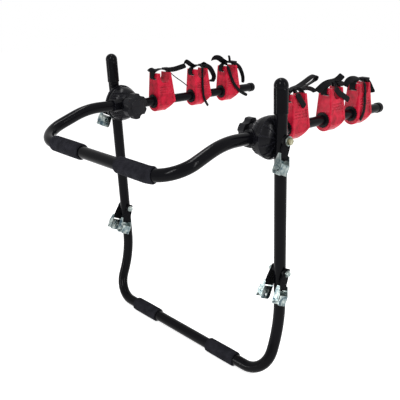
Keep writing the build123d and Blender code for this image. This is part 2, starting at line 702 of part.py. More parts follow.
# Cradle body, built round the arm's axis with its middle at the origin
front = -CRADLE_L / 2
back = CRADLE_L / 2
rear_top = back - CRADLE_LEAN
belly_z = CRADLE_HALF_W - CRADLE_BELLY
with BuildPart() as cradle:
    with BuildSketch(Plane(origin=(0, back, 0), x_dir=(1, 0, 0), z_dir=(0, -1, 0))):
        with BuildLine():
            Line((-CRADLE_TOP_HALF_W, CRADLE_TOP), (CRADLE_TOP_HALF_W, CRADLE_TOP))
            Line((CRADLE_TOP_HALF_W, CRADLE_TOP), (CRADLE_HALF_W, belly_z))
            CenterArc((0, belly_z), CRADLE_HALF_W, 0, -180)
            Line((-CRADLE_HALF_W, belly_z), (-CRADLE_TOP_HALF_W, CRADLE_TOP))
        make_face()
    extrude(amount=CRADLE_L)
    with BuildSketch(Plane.YZ.offset(-CRADLE_HALF_W - OVERRUN)):
        with BuildLine():
            Polyline(
                (rear_top, CRADLE_TOP),
                (back, CRADLE_WIDE_Z),
                (CRADLE_CHIN_Y, CRADLE_CHIN_Z),
                (CRADLE_CHIN_Y, -CRADLE_BELLY - OVERRUN),
                (back + OVERRUN, -CRADLE_BELLY - OVERRUN),
                (back + OVERRUN, CRADLE_TOP),
                close=True,
            )
        make_face()
        with Locations((NOTCH_Y, -CRADLE_BELLY)):
            Rectangle(NOTCH_W, 2 * NOTCH_H)
    extrude(amount=2 * (CRADLE_HALF_W + OVERRUN), mode=Mode.SUBTRACT)
    long_edges = cradle.faces().sort_by(Axis.Y)[0].edges()
    fillet(long_edges, CRADLE_FILLET)
    with BuildSketch(Plane.YZ.offset(-CRADLE_HALF_W - OVERRUN)):
        with Locations((SADDLE_Y, SADDLE_Z)):
            Circle(SADDLE_R)
        with Locations((SADDLE_Y, SADDLE_Z + SADDLE_R / 2)):
            Rectangle(2 * SADDLE_R, SADDLE_R)
    extrude(amount=2 * (CRADLE_HALF_W + OVERRUN), mode=Mode.SUBTRACT)
    with Locations((0, front, SLOT_Z)):
        Box(SLOT_W, CRADLE_L / 2, SLOT_H, mode=Mode.SUBTRACT)
    for side in (1, -1):
        with BuildSketch(Plane.YZ.offset(side * CRADLE_HALF_W)) as pocket:
            with BuildLine():
                Polyline(
                    (front + POCKET_EDGE, CRADLE_CHIN_Z / 2),
                    (front + POCKET_EDGE, POCKET_TOP),
                    (rear_top + CRADLE_LEAN / 3 - POCKET_EDGE, POCKET_TOP),
                    (back - POCKET_EDGE, CRADLE_WIDE_Z),
                    (CRADLE_CHIN_Y + POCKET_EDGE, CRADLE_CHIN_Z / 2),
                    close=True,
                )
            make_face()
            for rib in range(RIB_COUNT):
                with Locations((0, POCKET_TOP - (rib + 1) * RIB_PITCH)):
                    Rectangle(CRADLE_L, RIB_W, mode=Mode.SUBTRACT)
        lean = math.degrees(math.atan((CRADLE_HALF_W - CRADLE_TOP_HALF_W) / (CRADLE_TOP - belly_z)))
        face_at = Location((side * CRADLE_HALF_W, 0, belly_z), (0, -side * lean, 0))
        slab = extrude(pocket.sketch, POCKET_DEPTH, both=True, mode=Mode.PRIVATE)
        leaned = face_at * Location((-side * CRADLE_HALF_W, 0, -belly_z)) * slab
        add(leaned, mode=Mode.SUBTRACT)
    with Locations(Plane(origin=(0, 0, 0), z_dir=(0, 1, 0))):
        Cylinder(BUSH_R + FIT, 2 * CRADLE_L, mode=Mode.SUBTRACT)

# Splined bush between the cradle and the arm
with BuildPart() as bush:
    with BuildSketch(Plane(origin=(0, front - FIT, 0), z_dir=(0, 1, 0))):
        Circle(BUSH_R)
    extrude(amount=CRADLE_L + 2 * FIT)
    with BuildSketch(Plane(origin=(0, front - FIT, 0), z_dir=(0, -1, 0))):
        Circle(BUSH_FLANGE_R)
        with PolarLocations(BUSH_FLANGE_R, BUSH_TEETH):
            Rectangle(2 * BUSH_TOOTH_D, BUSH_TOOTH_W, mode=Mode.SUBTRACT)
    extrude(amount=BUSH_FLANGE_T)
    with Locations(Plane(origin=(0, 0, 0), z_dir=(0, 1, 0))):
        Cylinder(ARM_R + RUNNING, 2 * CRADLE_L, mode=Mode.SUBTRACT)


def ribbon(points, width):
    """The closed outline of a strip of one width along the points, with mitred corners."""
    spots = [Vector(y, z) for y, z in points]
    runs = [(after - before).normalized() for before, after in zip(spots, spots[1:])]
    normals = [Vector(-run.Y, run.X) for run in runs]
    left = []
    right = []
    for i, spot in enumerate(spots):
        first = normals[max(i - 1, 0)]
        second = normals[min(i, len(normals) - 1)]
        mitre = (first + second) * (width / 2 / (1 + first.dot(second)))
        left.append(spot + mitre)
        right.append(spot - mitre)
    return left + right[::-1]


def band(points):
    """A strap that runs in the arm's plane, its width across the arm."""
    with BuildPart() as strap:
        with BuildSketch(Plane.YZ):
            with BuildLine():
                Polyline(*ribbon(points, BAND_T), close=True)
            make_face()
        extrude(amount=BAND_W / 2, both=True)
    return strap.part


def side_tail(points, width):
    """A strap tail that lies flat beside the cradle, with the short turn that leads to it."""
    with BuildPart() as tail:
        with BuildSketch(Plane.YZ.offset(CRADLE_HALF_W + BODY_GAP)):
            with BuildLine():
                Polyline(*ribbon(points, width), close=True)
            make_face()
        extrude(amount=BAND_T)
        with BuildSketch(Plane.YZ):
            with Locations(points[0]):
                Rectangle(width, BAND_T)
        extrude(amount=CRADLE_HALF_W + BODY_GAP + BAND_T)
    return tail.part


def strap_lock(y, z):
    """The plastic buckle that locks a cradle strap."""
    with BuildPart() as lock:
        with Locations((0, y, z)):
            Box(LOCK_W, LOCK_L, LOCK_H)
        fillet(lock.edges().filter_by(Axis.X), LOCK_H / 4)
    return lock.part


# Strap routes in each cradle's own frame. A point's first number is a share of the cradle's
# length, along the arm, and its second a share of the cradle's height above the arm's axis.
slot_in = front + SADDLE_R / 2
horn_front = front - BAND_T
rear_strap_y = rear_top + BAND_T * 2
over_saddle = [
    (slot_in, SLOT_Z),
    (horn_front, SLOT_Z),
    (horn_front, CRADLE_TOP - BAND_T / 2),
    (front + BAND_T / 2, CRADLE_TOP + BAND_T),
    (SADDLE_Y, SADDLE_Z + SADDLE_R + 2 * BAND_T),
    (rear_top, CRADLE_TOP + BAND_T),
    (rear_strap_y, CRADLE_TOP - BAND_T),
    (rear_strap_y + BAND_T, SLOT_Z),
]
left_1_shares = {
    "bands": [[(0.21, 1.09), (0.63, 0.99), (0.95, 1.01), (1.35, 1.14)],
              [(0.53, 1.0), (0.77, 0.74), (1.09, 0.57), (1.40, 0.39)]],
    "tails": [],
    "lock": (0.32, 1.1),
}
left_2_shares = {
    "bands": [[(0.21, 1.09), (0.67, 0.94), (0.88, 0.79), (1.0, 0.57), (0.88, 0.41)]],
    "tails": [[(-0.04, 1.1), (-0.07, 0.54), (-0.07, 0.23), (0, -0.09), (0.25, -0.39)]],
    "lock": (0.25, 1.1),
}
left_3_shares = {
    "bands": [[(-1.09, 1.26), (-0.75, 1.29), (-0.44, 1.16), (-0.07, 1.13)],
              [(0.04, 1.11), (0, 1.31)],
              [(0.21, 1.08), (0.68, 0.86), (0.89, 0.64), (1.05, 0.4), (1.07, 0.19)]],
    "tails": [[(-0.32, 1.06), (-0.18, 0.57), (0.11, 0.2), (0.53, -0.1), (0.98, -0.27)]],
    "lock": (0.25, 1.1),
}
right_1_shares = {
    "bands": [[(-0.07, 1.13), (0.25, 1.2), (0.81, 1.37), (1.09, 1.4), (1.14, 1.3), (0.88, 1.2), (0.42, 1.09)],
              [(0.21, 1.08), (0.7, 1.03), (1.12, 0.91)]],
    "tails": [[(-0.43, 1.08), (-0.43, 0.74), (-0.17, 0.53), (0.04, 0.5)]],
    "lock": (0.25, 1.11),
}
right_2_shares = {
    "bands": [[(-1.0, 0.9), (-0.7, 1.06), (-0.25, 1.14), (0.1, 1.14), (0.53, 1.23)],
              [(0.21, 1.08), (0.6, 1.0), (0.7, 0.91)]],
    "tails": [[(-0.43, 1.08), (-0.43, 0.74), (-0.17, 0.53), (0.32, 0.47), (0.6, 0.4)]],
    "lock": (0.25, 1.11),
}
right_3_shares = {
    "bands": [[(-1.09, 0.86), (-0.88, 0.97), (-0.67, 1.03), (-0.35, 1.06)],
              [(0.21, 1.08), (0.46, 0.96), (0.67, 0.71), (1.02, 0.43)]],
    "tails": [[(-0.43, 1.08), (-0.43, 0.74), (-0.19, 0.5), (-0.14, 0.14), (-0.21, -0.11), (-0.39, -0.31)]],
    "lock": (0.25, 1.1),
}
all_shares = {
    "left": (left_1_shares, left_2_shares, left_3_shares),
    "right": (right_1_shares, right_2_shares, right_3_shares),
}


def placed(point_shares):
    """Route points in millimetres."""
    return [(y * CRADLE_L, z * CRADLE_TOP) for y, z in point_shares]


for side, stations in CRADLE_Y.items():
    sign = 1 if side == "right" else -1
    for number, station in enumerate(stations, start=1):
        place = arm_tilt * Location((sign * ARM_X, station, 0))
        name = side + "_" + str(number)
        save(place * cradle.part, "cradle_" + name)
        save(place * bush.part, "bush_" + name)
        shares = all_shares[side][number - 1]
        with BuildPart() as strap:
            add(band(over_saddle))
            for route in shares["bands"]:
                add(band(placed(route)))
            for route in shares["tails"]:
                add(side_tail(placed(route), TAIL_W))
            add(strap_lock(*placed([shares["lock"]])[0]))
        save(place * strap.part, "strap_" + name)
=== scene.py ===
import json
import math

import bmesh
import bpy
from mathutils import Matrix, Vector


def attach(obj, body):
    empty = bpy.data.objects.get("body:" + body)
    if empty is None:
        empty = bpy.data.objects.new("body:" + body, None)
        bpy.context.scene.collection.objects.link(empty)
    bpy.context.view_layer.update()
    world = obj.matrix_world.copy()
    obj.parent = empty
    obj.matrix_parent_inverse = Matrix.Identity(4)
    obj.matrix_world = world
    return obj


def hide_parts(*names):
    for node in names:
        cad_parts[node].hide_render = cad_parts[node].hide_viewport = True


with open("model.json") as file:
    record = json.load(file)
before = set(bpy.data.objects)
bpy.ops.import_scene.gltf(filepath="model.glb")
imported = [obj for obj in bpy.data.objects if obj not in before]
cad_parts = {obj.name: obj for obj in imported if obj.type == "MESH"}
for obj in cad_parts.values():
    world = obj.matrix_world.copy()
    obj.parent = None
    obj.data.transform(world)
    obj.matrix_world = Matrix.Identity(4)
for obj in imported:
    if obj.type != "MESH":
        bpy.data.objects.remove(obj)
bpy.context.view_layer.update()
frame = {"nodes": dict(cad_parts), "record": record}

# Lengths in metres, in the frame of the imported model
MM = 0.001
SIDES = (("left", -1), ("right", 1))

# Edges that turn by more than this stay sharp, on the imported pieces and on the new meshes
PACKED_SHARP = math.radians(32)
MESH_SHARP = math.radians(42)


def mm(*values):
    """A point in metres from millimetres."""
    return Vector(values) * MM


# Camera, solved from the photograph's tubes and bolts
CAMERA_AT = mm(995.2, -913.4, 293.2)
CAMERA_PITCH = math.radians(70.204)
CAMERA_TURN = math.radians(46.255)
LENS = 55.70
SENSOR = 36.0

camera_data = bpy.data.cameras.new("camera")
camera_data.lens = LENS
camera_data.sensor_width = SENSOR
camera_data.sensor_fit = "AUTO"
camera_data.clip_start = 0.05
camera = bpy.data.objects.new("camera", camera_data)
camera.location = CAMERA_AT
camera.rotation_euler = (CAMERA_PITCH, 0, CAMERA_TURN)
bpy.context.scene.collection.objects.link(camera)
bpy.context.scene.camera = camera
bpy.context.scene.view_settings.view_transform = "Standard"


# Base colours of the materials
GLOSS_BLACK = (0.0026, 0.0026, 0.0036)
FOAM_BLACK = (0.0135, 0.0135, 0.0170)
HUB_BLACK = (0.0036, 0.0036, 0.0048)
KNOB_BLACK = (0.0080, 0.0080, 0.0098)
BUSH_BLACK = (0.005, 0.005, 0.006)
RUBBER_BLACK = (0.0026, 0.0026, 0.0034)
WEBBING_BLACK = (0.0055, 0.0055, 0.0066)
CRADLE_RED = (0.47, 0.0110, 0.034)
# Painted highlight: the paler red put on the cradles' corners
CRADLE_HIGHLIGHT_RED = (0.74, 0.085, 0.13)

# Shades of the mottled materials as stops of (position, colour), dark to pale
# The cradle's mottle: partly flow marks, partly painted highlight and painted reflection of the gloss
CRADLE_SHADES = [
    (0.32, (0.25, 0.0055, 0.017)),
    (0.45, (0.40, 0.0085, 0.027)),
    (0.58, (0.50, 0.0105, 0.035)),
    (0.74, (0.60, 0.0160, 0.046)),
]
# The zinc mottles below are partly the plate's spangle and partly painted reflection
ZINC_SHADES = [(0.34, (0.09, 0.12, 0.13)), (0.47, (0.28, 0.33, 0.32)), (0.62, (0.50, 0.54, 0.52))]
YELLOW_SHADES = [(0.34, (0.09, 0.08, 0.05)), (0.47, (0.26, 0.24, 0.14)), (0.62, (0.46, 0.45, 0.32))]
BUCKLE_SHADES = [
    (0.36, (0.04, 0.07, 0.09)),
    (0.44, (0.16, 0.21, 0.22)),
    (0.56, (0.28, 0.33, 0.32)),
    (0.68, (0.48, 0.52, 0.50)),
]

# Corners that get a painted highlight: their radius in metres, and the cosine of the turn at which
# the painted highlight starts and is full
EDGE_RADIUS = 0.0007
EDGE_STARTS = 0.995
EDGE_FULL = 0.9

# The colour mix node's sockets go by number
MIX_A = 6
MIX_B = 7
MIX_RESULT = 2

# The weave, in metres: the spacing of the ribs across the webbing and of the warp lines along it,
# and the period of a wave texture of scale 1
RIB_PERIOD = 0.0013
WARP_PERIOD = 0.0011
WAVE_PERIOD = math.pi / 10


class Shader:
    """A material with its principled shader, and short ways to add texture nodes."""

    def __init__(self, name, color, roughness, metallic=0.0, specular=0.5):
        self.material = bpy.data.materials.new(name)
        self.material.use_nodes = True
        self.tree = self.material.node_tree
        self.base = self.tree.nodes["Principled BSDF"]
        self.base.inputs["Base Color"].default_value = (*color, 1)
        self.base.inputs["Roughness"].default_value = roughness
        self.base.inputs["Metallic"].default_value = metallic
        self.base.inputs["Specular IOR Level"].default_value = specular
        self.color = color
        self.height = None
        self.place = self.tree.nodes.new("ShaderNodeTexCoord").outputs["Object"]

    def node(self, kind, **settings):
        """A new node with its settings."""
        made = self.tree.nodes.new(kind)
        for key, value in settings.items():
            setattr(made, key, value)
        return made

    def link(self, out, into):
        """Join an output to an input."""
        self.tree.links.new(out, into)

    def noise(self, scale, detail=3.0, stretch=None):
        """Soft noise over the piece, stretched if asked."""
        place = self.place
        if stretch:
            mapping = self.node("ShaderNodeMapping")
            mapping.inputs["Scale"].default_value = stretch
            self.link(place, mapping.inputs["Vector"])
            place = mapping.outputs["Vector"]
        tex = self.node("ShaderNodeTexNoise")
        tex.inputs["Scale"].default_value = scale
        tex.inputs["Detail"].default_value = detail
        tex.inputs["Roughness"].default_value = 0.55
        self.link(place, tex.inputs["Vector"])
        return tex.outputs["Fac"]

    def cells(self, scale):
        """A texture of small cells over the piece."""
        tex = self.node("ShaderNodeTexVoronoi")
        tex.inputs["Scale"].default_value = scale
        self.link(self.place, tex.inputs["Vector"])
        return tex

    def ramp(self, fac, stops):
        """Colour between stops of (position, colour)."""
        made = self.node("ShaderNodeValToRGB")
        made.color_ramp.elements[0].position = stops[0][0]
        made.color_ramp.elements[0].color = (*stops[0][1], 1)
        made.color_ramp.elements[1].position = stops[-1][0]
        made.color_ramp.elements[1].color = (*stops[-1][1], 1)
        for position, color in stops[1:-1]:
            made.color_ramp.elements.new(position).color = (*color, 1)
        self.link(fac, made.inputs["Fac"])
        return made.outputs["Color"]

    def tint(self, fac, dark, light, spread=(0.3, 0.7)):
        """Colour that wanders between two shades of the base colour."""
        one = tuple(c * dark for c in self.color)
        two = tuple(min(1.0, c * light) for c in self.color)
        self.link(self.ramp(fac, [(spread[0], one), (spread[1], two)]), self.base.inputs["Base Color"])
        return self

    def polish(self, fac, low, high):
        """Roughness that wanders between two values."""
        made = self.node("ShaderNodeMapRange")
        made.inputs["To Min"].default_value = low
        made.inputs["To Max"].default_value = high
        self.link(fac, made.inputs["Value"])
        self.link(made.outputs["Result"], self.base.inputs["Roughness"])
        return self

    def bump(self, fac, depth, strength=1.0):
        """Fine relief; each call adds to the ones before."""
        made = self.node("ShaderNodeBump")
        made.inputs["Distance"].default_value = depth
        made.inputs["Strength"].default_value = strength
        self.link(fac, made.inputs["Height"])
        if self.height:
            self.link(self.height, made.inputs["Normal"])
        self.height = made.outputs["Normal"]
        self.link(self.height, self.base.inputs["Normal"])
        return self


def edge_mask(made):
    """Where a face turns over a corner: 0 on the flat, 1 on the edge."""
    bevel = made.node("ShaderNodeBevel", samples=4)
    bevel.inputs["Radius"].default_value = EDGE_RADIUS
    facing = made.node("ShaderNodeVectorMath", operation="DOT_PRODUCT")
    made.link(bevel.outputs["Normal"], facing.inputs[0])
    made.link(made.node("ShaderNodeNewGeometry").outputs["Normal"], facing.inputs[1])
    mask = made.node("ShaderNodeMapRange")
    mask.inputs["From Min"].default_value = EDGE_STARTS
    mask.inputs["From Max"].default_value = EDGE_FULL
    made.link(facing.outputs["Value"], mask.inputs["Value"])
    return mask.outputs["Result"]


def brighten_edges(made, color):
    """A painted highlight: a paler shade on the corners, where the edges would catch the light."""
    base = made.base.inputs["Base Color"]
    mix = made.node("ShaderNodeMix", data_type="RGBA")
    made.link(edge_mask(made), mix.inputs["Factor"])
    made.link(base.links[0].from_socket, mix.inputs[MIX_A])
    mix.inputs[MIX_B].default_value = (*color, 1)
    made.link(mix.outputs[MIX_RESULT], base)


def paint_material():
    """Glossy black powder coat: faint orange peel and faint dust."""
    made = Shader("frame_paint", GLOSS_BLACK, 0.13, specular=0.06)
    made.tint(made.noise(9.0), 0.75, 1.4)
    made.polish(made.noise(26.0, 4.0), 0.08, 0.18)
    made.bump(made.noise(420.0, 2.0), 0.00006)
    made.bump(made.noise(1800.0, 1.0), 0.00002)
    return made.material


def vinyl_material():
    """Soft black vinyl, as glossy as the tube and smoother."""
    made = Shader("vinyl", GLOSS_BLACK, 0.11, specular=0.06)
    made.tint(made.noise(14.0), 0.8, 1.3)
    made.polish(made.noise(40.0, 3.0), 0.08, 0.18)
    made.bump(made.noise(260.0, 2.0), 0.00005)
    return made.material


def foam_material():
    """Matt closed-cell foam with fine open pores."""
    made = Shader("foam", FOAM_BLACK, 0.9, specular=0.03)
    made.tint(made.noise(70.0, 5.0), 0.7, 1.45)
    pores = made.cells(1500.0).outputs["Distance"]
    made.bump(pores, 0.00022, 0.8)
    made.bump(made.noise(160.0, 4.0), 0.0003)
    return made.material


def moulded_material(name, color, roughness, specular=0.12, grain=0.00006, edge=1.0):
    """Moulded nylon with a fine spark-eroded grain. Its corners get a painted highlight, edge times paler."""
    made = Shader(name, color, roughness, specular=specular)
    made.tint(made.noise(35.0, 4.0), 0.75, 1.35)
    if edge > 1:
        # Painted highlight on the corners
        brighten_edges(made, tuple(edge * c for c in color))
    made.polish(made.noise(90.0, 3.0), roughness - 0.08, roughness + 0.12)
    made.bump(made.noise(1500.0, 2.0), grain)
    made.bump(made.noise(120.0, 2.0), grain)
    return made.material


def zinc_material(name, rough, stops):
    """Zinc plate with soft mottling, partly spangle and partly painted reflection, rub marks in its
    roughness and a painted highlight on its corners. The stops are its shades, dark to pale.
    """
    made = Shader(name, stops[1][1], rough, metallic=1.0)
    # Mottle of the stops: partly spangle, partly painted reflection
    made.link(made.ramp(made.noise(95.0, 3.0), stops), made.base.inputs["Base Color"])
    # Painted highlight on the corners, in the palest shade
    brighten_edges(made, stops[-1][1])
    made.polish(made.noise(260.0, 4.0, stretch=(1, 1, 4)), rough - 0.08, rough + 0.14)
    made.bump(made.noise(110.0, 2.0), 0.0006)
    made.bump(made.noise(900.0, 3.0), 0.00003)
    return made.material


def cradle_material():
    """Semi-gloss red plastic with a fine grain and a mottle, partly flow marks and partly painted
    highlight and reflection. Its corners get a painted highlight.
    """
    made = Shader("cradle_red", CRADLE_RED, 0.24, specular=0.12)
    # Mottle: partly flow marks, partly painted highlight and reflection
    made.link(made.ramp(made.noise(64.0, 5.0), CRADLE_SHADES), made.base.inputs["Base Color"])
    # Painted highlight along the corners
    brighten_edges(made, CRADLE_HIGHLIGHT_RED)
    made.polish(made.noise(140.0, 3.0), 0.12, 0.32)
    made.bump(made.noise(700.0, 3.0), 0.00007)
    made.bump(made.noise(55.0, 3.0, stretch=(1, 1, 0.4)), 0.0004)
    return made.material


def rubber_material():
    """Dark flexible strap rubber."""
    made = Shader("strap_rubber", RUBBER_BLACK, 0.45, specular=0.06)
    made.tint(made.noise(80.0, 4.0), 0.7, 1.5)
    made.polish(made.noise(120.0, 3.0), 0.36, 0.6)
    made.bump(made.noise(900.0, 2.0), 0.00006)
    return made.material


def weave_material():
    """Woven webbing: ribs across the strap and warp lines along it, from the strip's own UVs."""
    made = Shader("webbing", WEBBING_BLACK, 0.85, specular=0.06)
    uv = made.node("ShaderNodeUVMap").outputs["UV"]

    def wave(period, direction, distortion):
        tex = made.node("ShaderNodeTexWave", wave_type="BANDS", bands_direction=direction)
        tex.inputs["Scale"].default_value = WAVE_PERIOD / period
        tex.inputs["Distortion"].default_value = distortion
        made.link(uv, tex.inputs["Vector"])
        return tex.outputs["Fac"]

    across = wave(RIB_PERIOD, "X", 0.4)
    along = wave(WARP_PERIOD, "Y", 0.3)
    mix = made.node("ShaderNodeMath", operation="MULTIPLY")
    made.link(across, mix.inputs[0])
    made.link(along, mix.inputs[1])
    made.tint(mix.outputs[0], 0.5, 2.2, (0.05, 0.8))
    made.bump(across, 0.0003, 0.8)
    made.bump(along, 0.00015, 0.6)
    made.bump(made.noise(2500.0, 2.0), 0.00006)
    return made.material


paint = paint_material()
vinyl = vinyl_material()
foam = foam_material()
# Painted highlight on the hub plastic's corners and rib edges, nine times its colour, for thin glints
hub_plastic = moulded_material("hub_plastic", HUB_BLACK, 0.2, specular=0.11, edge=9.0)
knob_plastic = moulded_material("knob_plastic", KNOB_BLACK, 0.4, specular=0.10)
bush_plastic = moulded_material("bush_plastic", BUSH_BLACK, 0.4)
zinc = zinc_material("zinc_steel", 0.32, ZINC_SHADES)
yellow_zinc = zinc_material("yellow_zinc", 0.36, YELLOW_SHADES)
buckle_zinc = zinc_material("buckle_zinc", 0.3, BUCKLE_SHADES)
cradle_red = cradle_material()
strap_rubber = rubber_material()
webbing = weave_material()

material_of = {
    "frame_paint": paint,
    "vinyl": vinyl,
    "foam": foam,
    "hub_plastic": hub_plastic,
    "knob_plastic": knob_plastic,
    "zinc_steel": zinc,
    "bush_plastic": bush_plastic,
    "cradle_red": cradle_red,
    "strap_rubber": strap_rubber,
    "webbing": webbing,
    "buckle_steel": buckle_zinc,
}
slot_of = {part["node"]: part["material_slot"] for part in frame["record"]["subparts"]}
for name, piece in frame["nodes"].items():
    piece.data.materials.clear()
    piece.data.materials.append(material_of[slot_of[name]])
    piece.data.set_sharp_from_angle(angle=PACKED_SHARP)
frame["nodes"]["hub_bolts"].data.materials[0] = yellow_zinc

# Floor, backdrop and light, in metres and watts. The backdrop is white where it is seen or
# mirrored, and dimmer as a lamp.
FLOOR_Z = -0.5475
FLOOR_HALF = 6.0
FLOOR_SHADE = 0.86
FLOOR_GLOW = 0.71
SKY_AS_LAMP = 0.36
SKY_AS_SEEN = 1.0
LAMP_AIM = Vector((0, 0.05, -0.2))


def floor_material():
    """A pale floor that reads white in the camera and keeps the shadow."""
    made = Shader("floor", (FLOOR_SHADE, FLOOR_SHADE, FLOOR_SHADE), 0.9, specular=0.0)
    made.tint(made.noise(3.0), 0.99, 1.01)
    made.base.inputs["Emission Color"].default_value = (1, 1, 1, 1)
    made.base.inputs["Emission Strength"].default_value = FLOOR_GLOW
    return made.material


def stage_plane(name, half, z, material):
    """A level square that stands round the part and isn't a piece of it."""
    mesh = bpy.data.meshes.new(name)
    corners = [(-half, -half, z), (half, -half, z), (half, half, z), (-half, half, z)]
    mesh.from_pydata(corners, [], [tuple(range(len(corners)))])
    mesh.materials.append(material)
    made = bpy.data.objects.new(name, mesh)
    bpy.context.scene.collection.objects.link(made)


stage_plane("floor", FLOOR_HALF, FLOOR_Z, floor_material())

world = bpy.data.worlds.new("world")
world.use_nodes = True
bpy.context.scene.world = world
tree = world.node_tree
backdrop = tree.nodes["Background"]
backdrop.inputs["Color"].default_value = (1, 1, 1, 1)
ray = tree.nodes.new("ShaderNodeLightPath")
either = tree.nodes.new("ShaderNodeMath")
either.operation = "MAXIMUM"
tree.links.new(ray.outputs["Is Camera Ray"], either.inputs[0])
tree.links.new(ray.outputs["Is Glossy Ray"], either.inputs[1])
every = tree.nodes.new("ShaderNodeMath")
every.operation = "MAXIMUM"
tree.links.new(either.outputs[0], every.inputs[0])
tree.links.new(ray.outputs["Is Transmission Ray"], every.inputs[1])
strength = tree.nodes.new("ShaderNodeMapRange")
strength.inputs["To Min"].default_value = SKY_AS_LAMP
strength.inputs["To Max"].default_value = SKY_AS_SEEN
tree.links.new(every.outputs[0], strength.inputs["Value"])
tree.links.new(strength.outputs["Result"], backdrop.inputs["Strength"])


def softbox(name, at, size, energy):
    """A soft rectangular lamp of (width, height) that faces the middle of the part."""
    data = bpy.data.lights.new(name, "AREA")
    data.shape = "RECTANGLE"
    data.size = size[0]
    data.size_y = size[1]
    data.energy = energy
    lamp = bpy.data.objects.new(name, data)
    lamp.location = at
    lamp.rotation_euler = (LAMP_AIM - Vector(at)).to_track_quat("-Z", "Y").to_euler()
    bpy.context.scene.collection.objects.link(lamp)


softbox("key", (0.7, -1.6, 1.5), (0.28, 1.3), 26)
softbox("side", (2.1, 0.3, 0.8), (0.18, 1.6), 17)
softbox("top", (-0.4, 0.3, 2.2), (0.3, 1.4), 20)
softbox("low", (-0.9, -1.7, -0.2), (0.12, 1.5), 11)


# Mesh helpers


def new_object(name, mesh, material, body):
    """Give a mesh its finish, link it and let it ride on a body."""
    mesh.materials.append(material)
    mesh.shade_smooth()
    mesh.set_sharp_from_angle(angle=MESH_SHARP)
    made = bpy.data.objects.new(name, mesh)
    bpy.context.scene.collection.objects.link(made)
    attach(made, body)
    return made


def mesh_from(bm, name):
    """A mesh with its normals turned out."""
    bmesh.ops.recalc_face_normals(bm, faces=bm.faces)
    mesh = bpy.data.meshes.new(name)
    bm.to_mesh(mesh)
    bm.free()
    return mesh


def smooth_path(points, steps):
    """Points on a Catmull-Rom curve through the given points, with any values that ride along."""
    out = []
    count = len(points)
    for i in range(count - 1):
        p0 = points[max(i - 1, 0)]
        p1 = points[i]
        p2 = points[i + 1]
        p3 = points[min(i + 2, count - 1)]
        for k in range(steps):
            t = k / steps
            blend = (
                (-t + 2 * t ** 2 - t ** 3) / 2,
                (2 - 5 * t ** 2 + 3 * t ** 3) / 2,
                (t + 4 * t ** 2 - 3 * t ** 3) / 2,
                (-t ** 2 + t ** 3) / 2,
            )
            out.append(tuple(sum(f * v for f, v in zip(blend, values)) for values in zip(p0, p1, p2, p3)))
    out.append(tuple(points[-1]))
    return out


def revolve(name, profile, place, material, body, turns=48):
    """A closed profile of (radius, height) pairs turned about the local Z axis."""
    bm = bmesh.new()
    rings = []
    for k in range(turns):
        angle = math.tau * k / turns
        rings.append([
            bm.verts.new(place @ Vector((r * math.cos(angle), r * math.sin(angle), h))) for r, h in profile
        ])
    for one, two in zip(rings, rings[1:] + rings[:1]):
        for i in range(len(profile) - 1):
            bm.faces.new((one[i], two[i], two[i + 1], one[i + 1]))
    bmesh.ops.remove_doubles(bm, verts=bm.verts, dist=1e-7)
    bmesh.ops.dissolve_degenerate(bm, edges=bm.edges, dist=1e-7)
    return new_object(name, mesh_from(bm, name), material, body)


def sleeve(name, path, profile, material, body, turns=40):
    """A closed profile of (distance along, radius) pairs swept round a path given by a function."""
    bm = bmesh.new()
    rings = []
    for s, r in profile:
        at, along, side = path(s)
        up = along.cross(side)
        angles = [math.tau * k / turns for k in range(turns)]
        rings.append([bm.verts.new(at + side * (r * math.cos(a)) + up * (r * math.sin(a))) for a in angles])
    for one, two in zip(rings, rings[1:] + rings[:1]):
        for k in range(turns):
            n = (k + 1) % turns
            bm.faces.new((one[k], one[n], two[n], two[k]))
    return new_object(name, mesh_from(bm, name), material, body)


def strip(name, rows, width, thickness, material, body, corner, crown=0.0):
    """A flat strap. Each row is (centre, width direction, width scale). The section is a rectangle
    with its corners rounded by a share of the thickness, and its faces raised by the crown."""
    section = []
    half_w, half_t = width / 2, thickness / 2
    edge = thickness * corner
    for sx, sy, start in ((1, 1, 0), (-1, 1, 90), (-1, -1, 180), (1, -1, 270)):
        cx, cy = sx * (half_w - edge), sy * (half_t - edge)
        for k in range(3):
            a = math.radians(start + 45 * k)
            section.append((cx + edge * math.cos(a), cy + edge * math.sin(a)))
        if sx == sy:
            for share in (0.5, 0.0, -0.5):
                section.append((sx * half_w * share, sy * (half_t + crown * (1 - share * share))))
    bm = bmesh.new()
    uv_layer = bm.loops.layers.uv.new("uv")
    rings = []
    run = [0.0]
    for i, (at, wide, scale) in enumerate(rows):
        before = rows[max(i - 1, 0)][0]
        after = rows[min(i + 1, len(rows) - 1)][0]
        along = (after - before).normalized()
        wide = (wide - along * wide.dot(along)).normalized()
        flat = along.cross(wide)
        rings.append([bm.verts.new(at + wide * (a * scale) + flat * b) for a, b in section])
        if i:
            run.append(run[-1] + (at - rows[i - 1][0]).length)
    count = len(section)
    for i in range(len(rings) - 1):
        for k in range(count):
            n = (k + 1) % count
            face = bm.faces.new((rings[i][k], rings[i][n], rings[i + 1][n], rings[i + 1][k]))
            for loop, (a, b) in zip(face.loops, ((i, k), (i, n), (i + 1, n), (i + 1, k))):
                loop[uv_layer].uv = (run[a], section[b][0])
    bm.faces.new(list(reversed(rings[0])))
    bm.faces.new(rings[-1])
    return new_object(name, mesh_from(bm, name), material, body)


def soft_block(name, corners, bevel, material, body, place):
    """A rounded block from its lowest and highest corners."""
    bm = bmesh.new()
    bmesh.ops.create_cube(bm, size=1.0)
    for vert in bm.verts:
        vert.co = Vector([(a + b) / 2 + share * (b - a) for a, b, share in zip(*corners, vert.co)])
    bmesh.ops.bevel(bm, geom=bm.edges, offset=bevel, segments=3, profile=0.5, affect="EDGES")
    bm.transform(place)
    return new_object(name, mesh_from(bm, name), material, body)


